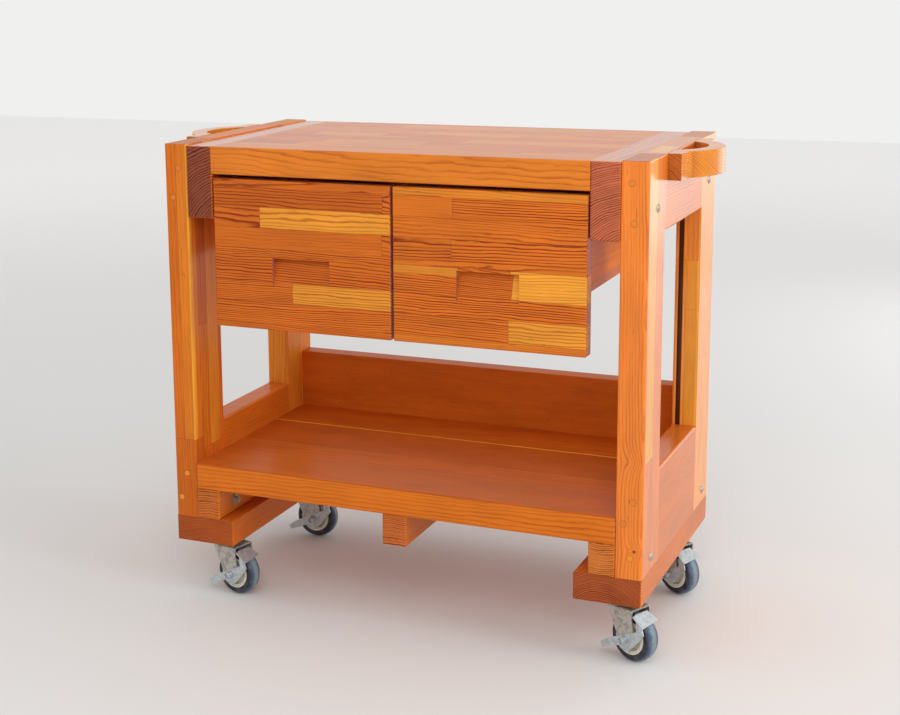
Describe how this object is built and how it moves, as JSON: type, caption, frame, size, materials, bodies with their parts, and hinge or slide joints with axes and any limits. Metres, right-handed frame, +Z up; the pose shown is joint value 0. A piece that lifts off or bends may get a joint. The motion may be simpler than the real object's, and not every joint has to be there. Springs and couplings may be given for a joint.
{
  "type": "kitchen cart",
  "caption": "Wooden kitchen cart with a laminated top, drawers with finger pulls, an open shelf, bow handles on the sides and braked swivel casters.",
  "frame": {"origin": "on the floor, under the middle of the cart's outer box", "axes": "+Z up, +X to the right of somebody who faces the drawers, -Y the way the drawers open"},
  "size_m": [0.89, 0.4362, 0.742],
  "materials": {
    "orange_timber": "clear satin varnish over orange pine",
    "top_timber": "clear satin varnish over a laminated top",
    "striped_timber": "clear satin varnish over laminated staves",
    "bearer_timber": "varnished, dark red-brown end grain",
    "dark_timber": "clear satin varnish over red-brown pine",
    "light_timber": "pale, lightly varnished",
    "bolt_steel": "dull zinc-plated steel",
    "zinc_steel": "dull zinc-plated sheet steel",
    "bright_zinc": "bright zinc-plated sheet steel",
    "tyre_rubber": "blue-grey rubber, worn along its middle",
    "hub_plastic": "ivory moulded plastic"
  },
  "bodies": {
    "root": {"left_front_post": "orange_timber", "left_rear_post": "orange_timber", "left_top_rail": "orange_timber", "left_bottom_rail": "orange_timber", "left_foot_beam": "orange_timber", "left_handle": "orange_timber", "right_front_post": "orange_timber", "right_rear_post": "orange_timber", "right_top_rail": "orange_timber", "right_bottom_rail": "orange_timber", "right_foot_beam": "orange_timber", "right_handle": "orange_timber", "left_bearer": "bearer_timber", "right_bearer": "bearer_timber", "table_top": "top_timber", "drawer_divider": "dark_timber", "drawer_runners": "light_timber", "shelf_front_board": "dark_timber", "shelf_middle_board": "dark_timber", "shelf_rear_board": "dark_timber", "rear_board": "dark_timber", "left_cleat": "orange_timber", "centre_cleat": "orange_timber", "right_cleat": "orange_timber", "frame_bolts": "bolt_steel", "bolt_nuts_and_washers": "bolt_steel", "frame_dowels": "light_timber", "wood_screws": "zinc_steel", "caster_plates": "zinc_steel", "caster_screws": "zinc_steel"},
    "left_drawer": {"left_drawer_front": "striped_timber", "left_drawer_left_side": "orange_timber", "left_drawer_right_side": "orange_timber", "left_drawer_back": "orange_timber", "left_drawer_bottom": "orange_timber"},
    "right_drawer": {"right_drawer_front": "striped_timber", "right_drawer_left_side": "orange_timber", "right_drawer_right_side": "orange_timber", "right_drawer_back": "orange_timber", "right_drawer_bottom": "orange_timber"},
    "front_left_swivel": {"front_left_fork": "zinc_steel", "front_left_axle_bolt": "zinc_steel"},
    "front_left_wheel": {"front_left_tyre": "tyre_rubber", "front_left_hub": "hub_plastic"},
    "front_left_brake": {"front_left_brake_pedal": "bright_zinc"},
    "front_right_swivel": {"front_right_fork": "zinc_steel", "front_right_axle_bolt": "zinc_steel"},
    "front_right_wheel": {"front_right_tyre": "tyre_rubber", "front_right_hub": "hub_plastic"},
    "front_right_brake": {"front_right_brake_pedal": "bright_zinc"},
    "rear_left_swivel": {"rear_left_fork": "zinc_steel", "rear_left_axle_bolt": "zinc_steel"},
    "rear_left_wheel": {"rear_left_tyre": "tyre_rubber", "rear_left_hub": "hub_plastic"},
    "rear_left_brake": {"rear_left_brake_pedal": "bright_zinc"},
    "rear_right_swivel": {"rear_right_fork": "zinc_steel", "rear_right_axle_bolt": "zinc_steel"},
    "rear_right_wheel": {"rear_right_tyre": "tyre_rubber", "rear_right_hub": "hub_plastic"},
    "rear_right_brake": {"rear_right_brake_pedal": "bright_zinc"}
  },
  "joints": [
    {"name": "left_drawer_slide", "type": "slide", "parent": "root", "child": "left_drawer", "axis": [0, -1, 0], "range_m": [0, 0.27]},
    {"name": "right_drawer_slide", "type": "slide", "parent": "root", "child": "right_drawer", "axis": [0, -1, 0], "range_m": [0, 0.27]},
    {"name": "front_left_caster_swivel", "type": "hinge", "parent": "root", "child": "front_left_swivel", "pos_m": [-0.335, -0.16293, 0.084], "axis": [0, 0, 1], "continuous": true},
    {"name": "front_left_wheel_spin", "type": "hinge", "parent": "front_left_swivel", "child": "front_left_wheel", "pos_m": [-0.2931, -0.17261, 0.0375], "axis": [0.225, 0.9744, 0], "continuous": true},
    {"name": "front_left_brake_press", "type": "hinge", "parent": "front_left_swivel", "child": "front_left_brake", "pos_m": [-0.2931, -0.17261, 0.0375], "axis": [0.225, 0.9744, 0], "range_deg": [0, 12]},
    {"name": "front_right_caster_swivel", "type": "hinge", "parent": "root", "child": "front_right_swivel", "pos_m": [0.335, -0.16293, 0.084], "axis": [0, 0, 1], "continuous": true},
    {"name": "front_right_wheel_spin", "type": "hinge", "parent": "front_right_swivel", "child": "front_right_wheel", "pos_m": [0.37365, -0.18178, 0.0375], "axis": [0.4384, 0.8988, 0], "continuous": true},
    {"name": "front_right_brake_press", "type": "hinge", "parent": "front_right_swivel", "child": "front_right_brake", "pos_m": [0.37365, -0.18178, 0.0375], "axis": [0.4384, 0.8988, 0], "range_deg": [0, 12]},
    {"name": "rear_left_caster_swivel", "type": "hinge", "parent": "root", "child": "rear_left_swivel", "pos_m": [-0.335, 0.12107, 0.084], "axis": [0, 0, 1], "continuous": true},
    {"name": "rear_left_wheel_spin", "type": "hinge", "parent": "rear_left_swivel", "child": "rear_left_wheel", "pos_m": [-0.29201, 0.12182, 0.0375], "axis": [-0.0175, 0.9998, 0], "continuous": true},
    {"name": "rear_left_brake_press", "type": "hinge", "parent": "rear_left_swivel", "child": "rear_left_brake", "pos_m": [-0.29201, 0.12182, 0.0375], "axis": [-0.0175, 0.9998, 0], "range_deg": [0, 12]},
    {"name": "rear_right_caster_swivel", "type": "hinge", "parent": "root", "child": "rear_right_swivel", "pos_m": [0.335, 0.12107, 0.084], "axis": [0, 0, 1], "continuous": true},
    {"name": "rear_right_wheel_spin", "type": "hinge", "parent": "rear_right_swivel", "child": "rear_right_wheel", "pos_m": [0.37186, 0.09892, 0.0375], "axis": [0.515, 0.8572, 0], "continuous": true},
    {"name": "rear_right_brake_press", "type": "hinge", "parent": "rear_right_swivel", "child": "rear_right_brake", "pos_m": [0.37186, 0.09892, 0.0375], "axis": [0.515, 0.8572, 0], "range_deg": [0, 12]}
  ]
}
